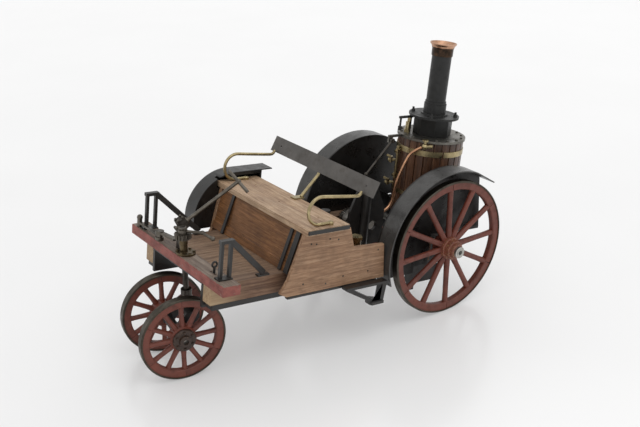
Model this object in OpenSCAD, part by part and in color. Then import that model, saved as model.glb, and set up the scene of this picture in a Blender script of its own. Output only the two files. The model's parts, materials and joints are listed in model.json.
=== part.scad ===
// Model steam road carriage: wooden chassis and bench seat, steered front bogie, two driven
// rear wheels and a vertical lagged boiler. Millimetres, +X forward, +Y left, +Z up.
// The carriage body is drawn level, with the rear axle at X = 0, and is then pitched nose up.

/* [Wheels] */
// Diameter of the rear wheels over the tyres
rear_wheel_d = 140; // [138:0.5:141]
// Diameter of the front wheels over the tyres
front_wheel_d = 80; // [76:0.5:80]
// Width of every tyre
tyre_w = 8; // [7:0.5:12]
// Number of spokes in each wheel
spokes = 12; // [8:1:12]
// Distance from the centre line to a rear wheel's outer face
rear_face_y = 79.5; // [79:0.1:80]

/* [Chassis] */
// How far the body is pitched nose up, in degrees
pitch = 6.8; // [6.4:0.1:7.2]
// Outer width over the two frame rails
rails_w = 117; // [115:0.5:118]
// Length of the front plank across the carriage
plank_l = 165.6; // [160:0.5:168]
// Width over the seat plank
seat_l = 153.6; // [150:0.5:156]
// Forward reach of the front plank's front edge from the rear axle
plank_front_x = 268; // [266:0.5:270]

/* [Steering] */
// Angle that the front bogie is turned to, at rest
steer_rest = 9.7; // [0:0.1:12]
// Distance that the front axle leads the kingpin
axle_lead = 15; // [14:0.5:16]

/* [Boiler] */
// Outer diameter of the boiler over its wooden lagging
boiler_d = 68; // [66:0.5:69]
// Height of the boiler's top plate in the level body frame
boiler_top_z = 165; // [160:0.5:168]
// Height of the chimney's top in the level body frame
chimney_top_z = 260; // [240:1:265]
// Number of wooden staves round the boiler
staves = 24; // [16:1:30]

/* [Hidden] */
$fn = 48;

// running and body-to-body clearances
run_gap = 0.05;
gap = 0.3;

rear_r = rear_wheel_d / 2;
front_r = front_wheel_d / 2;

// chassis heights and places, body frame
rail_w = 13;
rail_z = 50;
rail_top = 68.7;
rail_y = rails_w / 2 - rail_w / 2;
rail_front_x = plank_front_x - 3.4;
rail_rear_x = 6;
plank_t = 9;
plank_d = 17.3;
plank_top = rail_top + plank_t;
floor_t = 4;
side_y = 72;
side_t = 4;
seat_top = 113.3;
seat_t = 5.3;
seat_front_x = 179.6;
seat_rear_x = 132.8;
seat_under = seat_top - seat_t;
panel_x = 177;

// rear axle, engine and drive; the crank centre is level with the axle in the ground frame
axle_r = 3.5;
gear_y = -40;
axle_gear_r = 24;
crank_gear_r = 12;
axle_gear_teeth = 48;
crank_gear_teeth = 24;
crank_gx = axle_gear_r + crank_gear_r;
crank_x = crank_gx * cos(pitch);
crank_z = 70 - crank_gx * sin(pitch);
throw = 6;
con_rod_l = 24;
slide_x = crank_x + throw + con_rod_l;
cylinder_x = slide_x + 23;

// boiler, body frame
boiler_x = -31.2;
boiler_r = boiler_d / 2;
boiler_bottom_z = 79;
top_plate_t = 2.5;
smokebox_h = 21;
flange_z = boiler_top_z + smokebox_h;
chimney_r = 10.1;
door_dz = 13;
door_r = 9;
hinge_y = 12.4;

// steering, ground frame
kingpin_x = 257.5;
kingpin_y = 3;
kingpin_r = 2.6;
front_axle_z = front_r;
front_face_y = 31.4;
front_axle_r = 2.5;
column_tilt = 30.6;
shaft_y = -8;

// mudguards, body frame
guard_r = 80;
guard_t = 1.2;
guard_in_y = 58.6;
guard_out_y = 79.5;

// the origin is midway along the whole carriage, on the ground
front_reach = kingpin_x + axle_lead * cos(steer_rest) + front_face_y * sin(steer_rest)
  + front_r * cos(steer_rest);
rear_reach = (boiler_x - boiler_r - 1.5) * cos(pitch) - (boiler_top_z - rear_r) * sin(pitch);
origin_x = (front_reach + rear_reach) / 2;

// ---- placing ----

// ground frame: rear axle above X = 0
module on_ground() {
  translate([-origin_x, 0, 0]) children();
}

// level body frame, pitched nose up about the rear axle
module in_body() {
  on_ground() translate([0, 0, rear_r]) rotate([0, -pitch, 0]) translate([0, 0, -70]) children();
}

// bogie frame: X = 0 on the kingpin, turned to the rest angle
module in_bogie() {
  on_ground() translate([kingpin_x, kingpin_y, 0]) rotate([0, 0, -steer_rest]) children();
}

module both_sides() {
  children();
  mirror([0, 1, 0]) children();
}

// box from low corner to high corner
module box(lo, hi) {
  translate(lo) cube(hi - lo);
}

// straight round rod between two points
module rod(a, b, r) {
  d = b - a;
  len = norm(d);
  translate(a) rotate([0, acos(d[2] / len), atan2(d[1], d[0])]) cylinder(h = len, r = r);
}

// flat bar between any two points, its width across the bar's own slope
module bar_3d(a, b, w, t) {
  d = b - a;
  len = norm(d);
  translate(a) rotate([0, acos(d[2] / len), atan2(d[1], d[0])])
    translate([-w / 2, -t / 2, 0]) cube([w, t, len]);
}

// flat bar between two points in an XZ plane, thickness along Y
module bar_xz(a, b, w, y, t) {
  d = b - a;
  len = norm(d);
  translate([a[0], y, a[1]]) rotate([0, -atan2(d[1], d[0]), 0])
    translate([0, -t / 2, -w / 2]) cube([len, t, w]);
}

// cylinder along Y between two Y values
module y_cyl(x, z, y0, y1, r) {
  translate([x, y0, z]) rotate([-90, 0, 0]) cylinder(h = y1 - y0, r = r);
}

// outline in XZ extruded along Y
module xz_plate(points, y0, y1) {
  translate([0, y1, 0]) rotate([90, 0, 0]) linear_extrude(y1 - y0) polygon(points);
}

// torus segment of a bent rod: centre, radius, from angle a0 through da, in the XZ plane
module bend_xz(c, y, rr, r, a0, da) {
  translate([c[0], y, c[1]]) rotate([90, 0, 0]) rotate([0, 0, a0])
    rotate_extrude(angle = da) translate([rr, 0]) circle(r);
}

// ---- wooden chassis ----

module frame_rails() {
  color("burlywood") in_body() both_sides()
    box([rail_rear_x, rail_y - rail_w / 2, rail_z], [rail_front_x, rail_y + rail_w / 2, rail_top]);
}

// rear edge and top of each cross member
cross_places = [[56, 58], [84, 56.4], [150, 64.6], [214, 64.6]];

module cross_members() {
  inner = rail_y - rail_w / 2;
  color("peru") in_body() for (c = cross_places)
    box([c[0], -inner, rail_z + 2], [c[0] + 8, inner, c[1]]);
}

module frame_irons() {
  iron_t = 5;
  color("darkslategray") in_body() both_sides() {
    difference() {
      box([rail_rear_x + 30, rail_y - 5, rail_z - iron_t], [rail_front_x - 2.6, rail_y + 6.3, rail_z]);
      for (x = [60, 110, 160, 240]) translate([x, rail_y, rail_z - iron_t - 1]) cylinder(h = 3, r = 1.2);
    }
    box([88, side_y - side_t, rail_z - 2.2], [192, side_y, rail_z]);
  }
}

module floor_boards() {
  inner = rail_y - rail_w / 2;
  board_w = 2 * inner / 5;
  color("saddlebrown") in_body() for (i = [0:4])
    box([panel_x - 30, -inner + i * board_w + 0.15, rail_top - floor_t],
        [plank_front_x - plank_d - 0.2, -inner + (i + 1) * board_w - 0.15, rail_top]);
}

module front_plank() {
  color("rosybrown") in_body() difference() {
    box([plank_front_x - plank_d, -plank_l / 2, rail_top], [plank_front_x, plank_l / 2, plank_top]);
    for (y = [-rail_y, rail_y]) for (dy = [-3.5, 3.5])
      translate([plank_front_x - plank_d / 2, y + dy, plank_top - 1]) cylinder(h = 2, r = 1.3);
    column_hole(kingpin_r + 1.5);
  }
}

// hole for the upright steering column, drawn in the body frame
module column_hole(r) {
  translate([0, 0, 70]) rotate([0, pitch, 0])
    translate([kingpin_x, kingpin_y, -rear_r]) cylinder(h = 200, r = r);
}

module seat_front_panel() {
  inner = side_y - side_t - 0.2;
  color("sienna") in_body() {
    xz_plate([[panel_x, seat_under - 0.2], [panel_x - 4, seat_under - 0.2],
      [panel_x + 6, rail_top + 0.2], [panel_x + 10, rail_top + 0.2]], -inner, inner);
    xz_plate([[panel_x + 7.6, rail_top + 8], [panel_x + 9.3, rail_top + 8],
      [panel_x + 11.4, rail_top + 0.2], [panel_x + 9.9, rail_top + 0.2]], -inner, inner);
  }
}

module side_panel(toe) {
  xz_plate(concat([[seat_front_x - 0.6, seat_under - 0.1], [seat_rear_x - 6, seat_under - 0.1], [120, 87],
    [83, 85], [78.5, rail_z + 0.1], [193, rail_z + 0.1]], toe), side_y - side_t, side_y);
}

module side_panel_left() {
  color("peru") in_body() side_panel([[200.5, 54], [193, 66]]);
}

module side_panel_right() {
  color("peru") in_body() mirror([0, 1, 0]) side_panel([[195, 54], [187.6, 66]]);
}

module bay_bulkhead() {
  inner = side_y - side_t - 0.2;
  color("saddlebrown") in_body() {
    box([seat_rear_x - 7, -inner, rail_top + 0.2], [seat_rear_x - 3, inner, seat_under - 0.2]);
    both_sides() box([84, inner - 7.6, rail_top + 0.2], [seat_rear_x - 6.9, inner, rail_top + 12]);
  }
}

seat_holes = [[150, 52], [143, 66], [150, -52], [143, -66], [158, 0]];

module seat_plank() {
  color("tan") in_body() difference() {
    box([seat_rear_x, -seat_l / 2, seat_under], [seat_front_x, seat_l / 2, seat_top]);
    for (p = seat_holes) translate([p[0], p[1], seat_top - 1.5]) cylinder(h = 2, r = 1.1);
  }
}

// ---- iron fittings of the body ----

module seat_irons() {
  out = seat_l / 2;
  top = [panel_x + 1.2, seat_under - 0.7];
  low = [panel_x + 13, rail_top + 0.7];
  color("dimgray") in_body() {
    both_sides() box([seat_rear_x + 0.5, out, seat_under + 1.4], [seat_front_x, out + 1.6, seat_top - 0.5]);
    bar_xz(top, low, 1.6, 62, 6);
    bar_xz(top, low, 1.6, 52, 4);
    bar_xz(top, low, 1.6, -46, 4);
  }
}

// backrest: a flat iron plate, leaning back
back_a = [115, 138];
back_b = [108.5, 152.5];

module backrest_plate() {
  color("dimgray") in_body() difference() {
    bar_xz(back_a, back_b, 1.6, 2, 163);
    for (y = [-66, 70]) translate([back_a[0] - 3.2, y, 145]) rotate([0, 66, 0])
      cylinder(h = 10, r = 1, center = true);
  }
}

module backrest_stay() {
  y = -1.5;
  color("darkkhaki") in_body() {
    box([129.5, y - 3.5, seat_top + 0.02], [141, y + 3.5, seat_top + 1.6]);
    rod([131, y, seat_top + 1.3], [112.5, y, 134.5], 1.6);
    rod([112.5, y, 134.5], [109, y, 144.5], 1.6);
    translate([112.5, y, 134.5]) sphere(1.6);
  }
}

// brass rail: foot on the seat, a hooked front and a straight top back to the backrest
arm_y = 70;
arm_r = 1.6;
arm_top = 141;

module armrail() {
  low = seat_top + arm_r + 0.05;
  mid = (arm_top + low) / 2;
  turn = (arm_top - low) / 2;
  lean = 6;
  thin = arm_r - 0.15;
  kink = [120, arm_y, arm_top - 4.5];
  rod([150, arm_y, low], [163, arm_y, low], thin);
  bend_xz([163, mid], arm_y, turn, arm_r, -90, 180 + lean);
  rod([163 - turn * sin(lean), arm_y, mid + turn * cos(lean)], kink, thin);
  rod(kink, [116.9, arm_y, arm_top - 0.4], thin);
  translate(kink) sphere(arm_r + 0.3);
  translate([150, arm_y, seat_top + 0.02]) cylinder(h = 3.6, r = 2.8);
}

module armrail_left() {
  color("darkkhaki") in_body() armrail();
}

module armrail_right() {
  color("darkkhaki") in_body() mirror([0, 1, 0]) armrail();
}

module step() {
  top = rail_z - 0.4;
  difference() {
    xz_plate([[80, top], [130, top], [130, top - 2.6], [99.6, 30.9], [99, 27.2], [83.5, 27.2],
      [81, top - 2.6]], 72.2, 80.2);
    xz_plate([[86.4, top - 2.6], [122, top - 2.6], [97.6, 33.8], [87.6, 31]], 72, 81);
  }
  box([83.9, 79.8, 27.6], [98.6, 82.2, 30.6]);
}

module steps() {
  color("black") in_body() both_sides() step();
}

// two pairs of iron uprights at the ends of the front plank
module front_stand() {
  y = 66.5;
  foot = plank_top + 0.02;
  for (x = [252.6, 261.6]) box([x - 1.4, y - 1.6, foot], [x + 1.4, y + 1.6, foot + 34.5]);
  box([250.4, y - 2.4, foot + 32.6], [263.6, y + 2.4, foot + 35.6]);
  bar_3d([251.6, y, foot + 33], [209.5, rail_y + 4.4, rail_top + 2.7], 5.2, 1.8);
  box([251, y - 4, foot], [265, y + 4, foot + 1.2]);
  box([204, rail_y + 1, rail_top + 0.02], [216, rail_y + 6, rail_top + 1.5]);
}

module front_stands() {
  color("dimgray") in_body() {
    both_sides() front_stand();
    translate([258.5, 52, plank_top + 0.02]) cylinder(h = 6, r = 1.2);
    translate([258.5, 52, plank_top + 8]) rotate([90, 0, 0])
      rotate_extrude() translate([2.4, 0]) circle(0.9);
  }
}

// ---- steering ----

module steering_transom() {
  inner = rail_y - rail_w / 2;
  color("black") in_body() {
    difference() {
      box([plank_front_x - plank_d + 2, -inner, rail_top - 3.5], [plank_front_x - 3, inner, rail_top]);
      column_hole(kingpin_r + run_gap);
    }
    both_sides() box([222, inner - 3.3, 43.5], [rail_front_x, inner, rail_top - floor_t - 0.3]);
  }
}

module column_bearing() {
  color("dimgray") in_body() difference() {
    union() {
      translate([kingpin_x + 1.1, kingpin_y, plank_top + 0.02]) cylinder(h = 2, r = 9.1);
      for (a = [30:60:330]) translate([kingpin_x + 1.1, kingpin_y, plank_top + 1.9])
        rotate([0, 0, a]) translate([7.4, 0, 0]) cylinder(h = 1.5, r = 1.3);
      translate([0, 0, 70]) rotate([0, pitch, 0]) translate([kingpin_x, kingpin_y, -rear_r]) {
        translate([0, 0, 109.6]) cylinder(h = 13.6, r = 3.6);
        translate([0, 0, 118.2]) cylinder(h = 5, r = 4);
      }
    }
    column_hole(kingpin_r + run_gap);
  }
}

// box that holds the worm at the foot of the steering shaft
module steering_box() {
  color("dimgray") in_body() difference() {
    union() {
      translate([shaft_x, shaft_y, shaft_z]) rotate([0, column_tilt - 90, 0])
        translate([-5.5, -5, -4]) cube([11, 7.5, 8]);
      box([shaft_x - 4, shaft_y - 4.7, plank_top + 0.02], [shaft_x + 2.6, shaft_y + 1.8, shaft_z - 4]);
    }
    translate([shaft_x, shaft_y, shaft_z]) rotate([0, column_tilt - 90, 0])
      cylinder(h = 12, r = 1.7 + run_gap, center = true);
  }
}

// centre of the worm, body frame
shaft_x = 257;
shaft_z = 102;

module link_bar() {
  knob = [265, -73.6];
  color("gray") in_body() {
    translate([264, -36, plank_top + 0.02]) {
      cylinder(h = 3, r = 4);
      cylinder(h = 7, r = 3);
      translate([0, 0, 6]) cylinder(h = 3, r = 4);
    }
    translate([knob[0], knob[1], plank_top + 0.02]) cylinder(h = 8, r = 2.4);
    translate([knob[0], knob[1], plank_top + 9.4]) sphere(2.8);
    translate([0, 0, plank_top + 6.4]) linear_extrude(2)
      polygon([[262.6, -13.3], [257, -13.3], [262, -37], [266, -37]]);
    translate([0, 0, plank_top + 3.6]) linear_extrude(2)
      polygon([[266.6, -36], [262.6, -36], [263.6, -62], [263.6, -74], [266.6, -74]]);
  }
}

module kingpin() {
  color("gray") in_bogie() {
    translate([0, 0, front_axle_z + 12]) cylinder(h = 82, r = kingpin_r);
    translate([0, 0, front_axle_z + 17.02]) cylinder(h = 16.4, r = 5);
  }
}

gear_r = 8;
gear_z = 123.5;
gear_teeth = 16;

module steering_gear() {
  low = gear_z + gap;
  arm_z = low + 7;
  elbow = [-14, 12, arm_z];
  color("dimgray") in_bogie() difference() {
    union() {
      translate([0, 0, low]) rotate([90, 0, 0]) spur(gear_r, gear_teeth, 5);
      translate([0, 0, low + 4.9]) cylinder(h = 4, r = 4.4);
      translate([0, 0, low + 8.7]) cylinder(h = 2, r = 3.8, $fn = 6);
      rod([-3, 2.6, arm_z], elbow, 1.3);
      rod(elbow, [-20, 22, arm_z - 3], 1.3);
      translate(elbow) sphere(1.8);
      translate([-20, 22, arm_z - 3]) sphere(2.1);
    }
    cylinder(h = 200, r = kingpin_r + 0.02);
  }
}

handle_reach = 66;

module steering_shaft() {
  color("gray") in_body() translate([shaft_x, shaft_y, shaft_z]) rotate([0, column_tilt - 90, 0]) {
    translate([0, 0, -6.5]) cylinder(h = handle_reach + 6.5, r = 1.7);
    translate([0, 0, -6.5 - 1.6]) cylinder(h = 1.6, r = 2.8);
    translate([0, 0, 4.4]) cylinder(h = 1.6, r = 2.8);
    translate([0, 0, handle_reach]) rotate([0, 0, 42]) rotate([90, 0, 0])
      cylinder(h = 27, r = 1.6, center = true);
    translate([0, 0, handle_reach]) sphere(2.4);
  }
}

module bogie_frame() {
  arm_y0 = 13;
  arm_y1 = 16;
  color("black") in_bogie() difference() {
    union() {
      box([-6, -arm_y1, front_axle_z + 12], [6, arm_y1, front_axle_z + 17]);
      both_sides() xz_plate([[-6, front_axle_z + 17], [6, front_axle_z + 17],
        [axle_lead + 5, front_axle_z + 3],
        [axle_lead + 4, front_axle_z - 4.5], [axle_lead - 4, front_axle_z - 4.5], [-6, front_axle_z + 10]],
        arm_y0, arm_y1);
      y_cyl(axle_lead, front_axle_z, -arm_y1, arm_y1, 4.5);
    }
    y_cyl(axle_lead, front_axle_z, -40, 40, front_axle_r + 0.02);
    translate([0, 0, front_axle_z]) cylinder(h = 40, r = kingpin_r + 0.02);
  }
}

module front_axle() {
  color("gray") in_bogie() {
    y_cyl(axle_lead, front_axle_z, -front_face_y - 2.4, front_face_y + 2.4, front_axle_r);
    for (s = [-1, 1]) y_cyl(axle_lead, front_axle_z, s * 17.2 - 0.9, s * 17.2 + 0.9, 4.4);
  }
}

// ---- wheels, drawn about the axle at X = Z = 0, outer face at Y = 0, outside towards +Y ----

module wheel_wood(r, rim, hub_r, hub_in, hub_out, bore_r, spoke_r) {
  rim_out = r - 1.8;
  mid = -tyre_w / 2;
  difference() {
    union() {
      difference() {
        y_cyl(0, 0, -tyre_w + 0.6, -0.6, rim_out);
        y_cyl(0, 0, -tyre_w - 1, 1, r - rim);
      }
      for (i = [0:spokes - 1]) rotate([0, i * 360 / spokes, 0]) translate([0, mid, 0]) {
        translate([0, 0, hub_r - 2])
          cylinder(h = r - rim - hub_r + 4, r1 = spoke_r * 0.9, r2 = spoke_r * 1.1);
      }
      y_cyl(0, 0, -hub_in, -2, hub_r);
      rotate([0, 22.5, 0]) translate([0, -2.1, 0]) rotate([-90, 0, 0])
        cylinder(h = hub_out * 0.5 + 2.1, r = hub_r * 0.96, $fn = 8);
      y_cyl(0, 0, hub_out * 0.5 - 0.1, hub_out, hub_r * 0.72);
    }
    y_cyl(0, 0, -hub_in - 1, hub_out + 1, bore_r);
  }
}

module tyre(r) {
  difference() {
    y_cyl(0, 0, -tyre_w, 0, r);
    y_cyl(0, 0, -tyre_w - 1, 1, r - 1.8);
  }
}

module rear_wheel() {
  wheel_wood(rear_r, 9, 12, 16, 11, axle_r + 0.02, 2.8);
}

module rear_side(s) {
  on_ground() translate([0, 0, rear_r]) mirror([0, s > 0 ? 0 : 1, 0])
    translate([0, rear_face_y, 0]) children();
}

module rear_wheel_left() {
  color("brown") rear_side(1) rear_wheel();
}

module rear_wheel_right() {
  color("brown") rear_side(-1) rear_wheel();
}

module rear_tyre_left() {
  color("darkslategray") rear_side(1) tyre(rear_r);
}

module rear_tyre_right() {
  color("darkslategray") rear_side(-1) tyre(rear_r);
}

// front wheels carry a round bolted cap outside
module front_wheel() {
  cap_r = 10.8;
  wheel_wood(front_r, 8.6, 12.6, 11.8, 0.6, front_axle_r + run_gap, 2.4);
  difference() {
    union() {
      y_cyl(0, 0, 0.5, 2.6, cap_r);
      for (i = [0:5]) rotate([0, i * 60, 0]) y_cyl(8.2, 0, 2.5, 3.8, 1.3);
      y_cyl(0, 0, 2.5, 5.6, 5.4);
    }
    y_cyl(0, 0, -1, 4.6, front_axle_r + run_gap);
  }
}

module front_side(s) {
  in_bogie() translate([axle_lead, 0, front_axle_z]) mirror([0, s > 0 ? 0 : 1, 0])
    translate([0, front_face_y, 0]) children();
}

module front_wheel_left() {
  color("brown") front_side(1) front_wheel();
}

module front_wheel_right() {
  color("brown") front_side(-1) front_wheel();
}

module front_tyre_left() {
  color("darkslategray") front_side(1) tyre(front_r);
}

module front_tyre_right() {
  color("darkslategray") front_side(-1) tyre(front_r);
}

// ---- rear axle and drive ----

module rear_axle() {
  nut_y = rear_face_y + 11;
  color("silver") on_ground() {
    y_cyl(0, rear_r, -nut_y - 3, nut_y + 3, axle_r);
    both_sides() difference() {
      y_cyl(0, rear_r, nut_y + 0.02, nut_y + 2.6, 5.8);
      y_cyl(0, rear_r, nut_y - 1, nut_y + 5, axle_r - 0.01);
    }
  }
}

// straight toothed wheel along Y, its teeth stopping short of the pitch circle
module spur(r, teeth, w) {
  root = r - 1.5;
  rotate([-90, 0, 0]) {
    cylinder(h = w, r = root);
    for (i = [0:teeth - 1]) rotate([0, 0, i * 360 / teeth])
      linear_extrude(w)
        polygon([[root - 0.3, -0.95], [r - 0.25, -0.5], [r - 0.25, 0.5], [root - 0.3, 0.95]]);
  }
}

module axle_gear() {
  color("dimgray") on_ground() difference() {
    translate([0, gear_y - 3, rear_r]) spur(axle_gear_r, axle_gear_teeth, 6);
    y_cyl(0, rear_r, gear_y - 5, gear_y + 5, axle_r + 0.02);
    for (i = [0:5]) translate([0, 0, rear_r]) rotate([0, i * 60, 0])
      y_cyl(12.5, 0, gear_y - 5, gear_y + 5, 3.6);
  }
}

module crankshaft() {
  color("gray") on_ground() translate([crank_gx, 0, rear_r]) {
    y_cyl(0, 0, -44, -10.9, 3);
    translate([0, gear_y - 3, 0]) rotate([0, 180 / crank_gear_teeth, 0])
      spur(crank_gear_r, crank_gear_teeth, 6);
    y_cyl(0, 0, -11, -8, 10.5);
    rotate([0, -pitch, 0]) y_cyl(throw, 0, -8.1, -4.5, 2);
    difference() {
      y_cyl(0, 0, -31, -24, 17);
      for (i = [0:4]) rotate([0, i * 72, 0]) y_cyl(10.2, 0, -35, -20, 3.4);
    }
  }
}

module crosshead() {
  color("silver") in_body() translate([slide_x, 0, crank_z]) {
    box([-4, -1.5, -3.4], [6, 4, 3.4]);
    y_cyl(0, 0, -4.6, -1.4, 1.2);
    rod([5.9, 1, 0], [32, 1, 0], 1.5);
    rod([32, 1, 0], [37, 1, 0], 6.95);
  }
}

module connecting_rod() {
  color("gray") in_body() translate([slide_x, 0, crank_z]) difference() {
    union() {
      box([-con_rod_l, -4.2, -1.5], [0, -1.8, 1.5]);
      y_cyl(0, 0, -4.2, -1.8, 3);
      y_cyl(-con_rod_l, 0, -4.2, -1.8, 3.6);
    }
    y_cyl(0, 0, -5, -1, 1.2 + run_gap);
  }
}

module engine_block() {
  z = crank_z;
  base = 58.2;
  color("black") in_body() difference() {
    union() {
      translate([cylinder_x, 1, z]) rotate([0, 90, 0]) cylinder(h = 25, r = 9);
      for (x = [cylinder_x - 1.5, cylinder_x + 23]) translate([x, 1, z]) rotate([0, 90, 0])
        cylinder(h = 3, r = 8.4);
      box([cylinder_x + 3, -7, z + 7], [cylinder_x + 21, 9, z + 17]);
      translate([cylinder_x + 12, 1, z + 16]) cylinder(h = 16, r = 4.6);
      translate([cylinder_x + 12, 1, z + 24]) cylinder(h = 2.4, r = 6.6);
      for (s = [-1, 1]) box([50, -1.5, z + s * 4.9 - 1.2], [cylinder_x, 4, z + s * 4.9 + 1.2]);
      for (y = [-36, -17]) xz_plate([[crank_x - 6, base], [crank_x - 6, 73], [crank_x + 6, 73], [50, 62],
        [66, 62], [66, base]], y, y + (y < -20 ? 3 : 4));
      box([56, -36, base], [64, 13, base + 2.4]);
      box([60, -16.9, base], [cylinder_x + 10, -13.2, base + 3.6]);
      box([cylinder_x + 2, -17, base], [cylinder_x + 10, -3, base + 3.6]);
      difference() {
        xz_plate([[34, base], [34, 96], [45, 117], [50, 125], [66, 125], [71, 117], [79, 96], [82, base]],
          10, 13);
        y_cyl(58, 108, 9, 14, 4.6);
        y_cyl(48, 78, 9, 14, 5);
      }
      translate([61, 14.9, base]) cylinder(h = 60, r = 5);
    }
    translate([cylinder_x - 9, 1, z]) rotate([0, 90, 0]) cylinder(h = 20, r = 1.5 + run_gap);
    translate([cylinder_x + 2, 1, z]) rotate([0, 90, 0]) cylinder(h = 20, r = 7);
    y_cyl(crank_x, crank_z, -40, -12, 3 + run_gap);
  }
}

module axle_bearings() {
  y0 = rail_y - rail_w / 2 + 1;
  color("darkolivegreen") in_body() both_sides() difference() {
    union() {
      box([-9, y0, rail_z - 24], [rail_rear_x - 0.1, y0 + 9, 75.3]);
      box([rail_rear_x - 1, y0, rail_z - 24], [26, y0 + 9, rail_z - 0.1]);
      box([18, y0 + 2, rail_z - 32], [25, y0 + 7, rail_z - 23]);
    }
    y_cyl(0, 70, 20, 70, axle_r + run_gap);
  }
}

// ---- sheet metal ----

module mudguard() {
  difference() {
    y_cyl(0, 70, guard_in_y, guard_out_y, guard_r);
    y_cyl(0, 70, guard_in_y - 1, guard_out_y + 1, guard_r - guard_t);
    xz_plate([[0, 70], [200, 70 - 200 * tan(21)], [0, -200], [-300, -200], [-300, 300],
      [-200 * tan(18), 270]], guard_in_y - 2, guard_out_y + 2);
  }
  flare = [guard_r * cos(108) + 0.2, 70 + guard_r * sin(108)];
  tip = flare + [-25.5, -12.2];
  xz_plate([flare, tip, tip + [0.5, -1.1], flare + [0.5, -1.1]], guard_in_y, guard_out_y);
  intersection() {
    y_cyl(0, 70, guard_in_y, guard_in_y + guard_t, guard_r - guard_t / 2);
    xz_plate([[-44, 160], [-58, 79.5], [10, 79.5], [10, 47.6], [28, 47.6], [28, 40], [90, 40], [90, 160]],
      guard_in_y - 1, guard_in_y + 3);
  }
}

module mudguard_left() {
  color("black") in_body() mudguard();
}

module mudguard_right() {
  color("black") in_body() mirror([0, 1, 0]) mudguard();
}

// sheet-metal casing at the far side of the seat, rounded in front
casing_x = 161;
casing_z = 75.8;
casing_r = 45.4;

module side_casing() {
  t = 1.2;
  y0 = -90.5;
  y1 = side_y * -1 - 0.4;
  end_x = 129.5;
  casing_top = casing_z + casing_r;
  color("black") in_body() difference() {
    union() {
      intersection() {
        y_cyl(casing_x, casing_z, y0, y1, casing_r);
        box([casing_x - 1, y0 - 1, 66], [300, y1 + 1, 200]);
      }
      box([end_x, y0, 66], [casing_x, y1, casing_top]);
      box([117, y0, casing_top - t], [casing_x, y1, casing_top]);
    }
    intersection() {
      y_cyl(casing_x, casing_z, y0 + t, y1 - t, casing_r - t);
      box([casing_x - 1, y0 - 1, 60], [300, y1 + 1, 200]);
    }
    box([end_x + t, y0 + t, 60], [casing_x, y1 - t, casing_top - t]);
    box([seat_rear_x - 1.3, -seat_l / 2 - 2.2, seat_under - 0.6], [seat_front_x + 2, y1 + 1, seat_top + 4]);
  }
}

// ---- boiler ----

module at_boiler(z) {
  translate([boiler_x, 0, z]) children();
}

module boiler_shell() {
  h = boiler_top_z - boiler_bottom_z - top_plate_t;
  color("dimgray") in_body() at_boiler(boiler_bottom_z) difference() {
    union() {
      cylinder(h = h - 0.02, r = boiler_r - 3);
      translate([-boiler_r - 0.1, 0, door_dz]) rotate([0, 90, 0]) cylinder(h = 6, r = door_r);
    }
    translate([0, 0, 3]) cylinder(h = h, r = boiler_r - 5);
    translate([-boiler_r - 1, 0, door_dz]) rotate([0, 90, 0]) cylinder(h = 12, r = 7);
  }
}

module boiler_lagging() {
  h = boiler_top_z - boiler_bottom_z - top_plate_t - 0.2;
  color("sienna") in_body() at_boiler(boiler_bottom_z) difference() {
    cylinder(h = h, r = boiler_r);
    translate([0, 0, -1]) cylinder(h = h + 2, r = boiler_r - 2.98);
    for (i = [0:staves - 1]) rotate([0, 0, (i + 0.5) * 360 / staves])
      translate([boiler_r - 0.5, -0.25, -1]) cube([2, 0.5, h + 2]);
    translate([-boiler_r - 1, 0, door_dz]) rotate([0, 90, 0]) cylinder(h = 12, r = door_r + 0.3);
  }
}

module band(z, h) {
  at_boiler(z) difference() {
    cylinder(h = h, r = boiler_r + 0.7);
    translate([0, 0, -1]) cylinder(h = h + 2, r = boiler_r + 0.02);
    rotate([0, 0, 70]) translate([boiler_r - 1, -0.6, -1]) cube([4, 1.2, h + 2]);
  }
}

module boiler_bands() {
  color("goldenrod") in_body() {
    band(148.3, 5.7);
    band(boiler_bottom_z + 24, 4.2);
    at_boiler(boiler_bottom_z) {
      box([-boiler_r - 2.4, hinge_y - 1, door_dz + 6.4], [-boiler_r + 1.8, hinge_y + 1, 28.2]);
      translate([-boiler_r - 1.3, hinge_y, door_dz - 6]) cylinder(h = 13, r = 0.7);
    }
  }
}

module boiler_top() {
  pin = [18, 160];
  color("dimgray") in_body() {
    at_boiler(boiler_top_z - top_plate_t) difference() {
      union() {
        cylinder(h = top_plate_t, r = boiler_r + 1.5);
        for (i = [0:15]) rotate([0, 0, (i + 0.5) * 22.5]) translate([boiler_r - 2.4, 0, top_plate_t - 0.2])
          cylinder(h = 1.4, r = 1.3);
      }
      translate([0, 0, -1]) cylinder(h = 6, r = 13);
    }
    box([1, -9.4, boiler_top_z - top_plate_t], [pin[0] + 2.6, -7.2, boiler_top_z]);
    box([pin[0] - 2.6, -9.4, pin[1] - 2.6], [pin[0] + 2.6, -7.2, boiler_top_z - 0.5]);
    y_cyl(pin[0], pin[1], -7.3, -2.8, 0.8);
  }
}

module smokebox() {
  color("dimgray") in_body() at_boiler(boiler_top_z) difference() {
    union() {
      translate([0, 0, 0.02]) rotate([0, 0, 8]) cylinder(h = smokebox_h - 2, r = 20, $fn = 8);
      translate([0, 0, smokebox_h - 2.2]) cylinder(h = 2.2, r = 26);
      translate([0, 0, smokebox_h - 0.2]) cylinder(h = 1.6, r = 14);
      for (a = [40, 130, 220, 310]) rotate([0, 0, a]) translate([22, 0, smokebox_h - 0.2]) {
        cylinder(h = 2.2, r = 2.1, $fn = 6);
        cylinder(h = 4.8, r = 1.2);
      }
    }
    translate([0, 0, -1]) cylinder(h = smokebox_h - 3, r = 15);
    translate([0, 0, smokebox_h - 5]) cylinder(h = 8, r = chimney_r - 1.5);
  }
}

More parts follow.
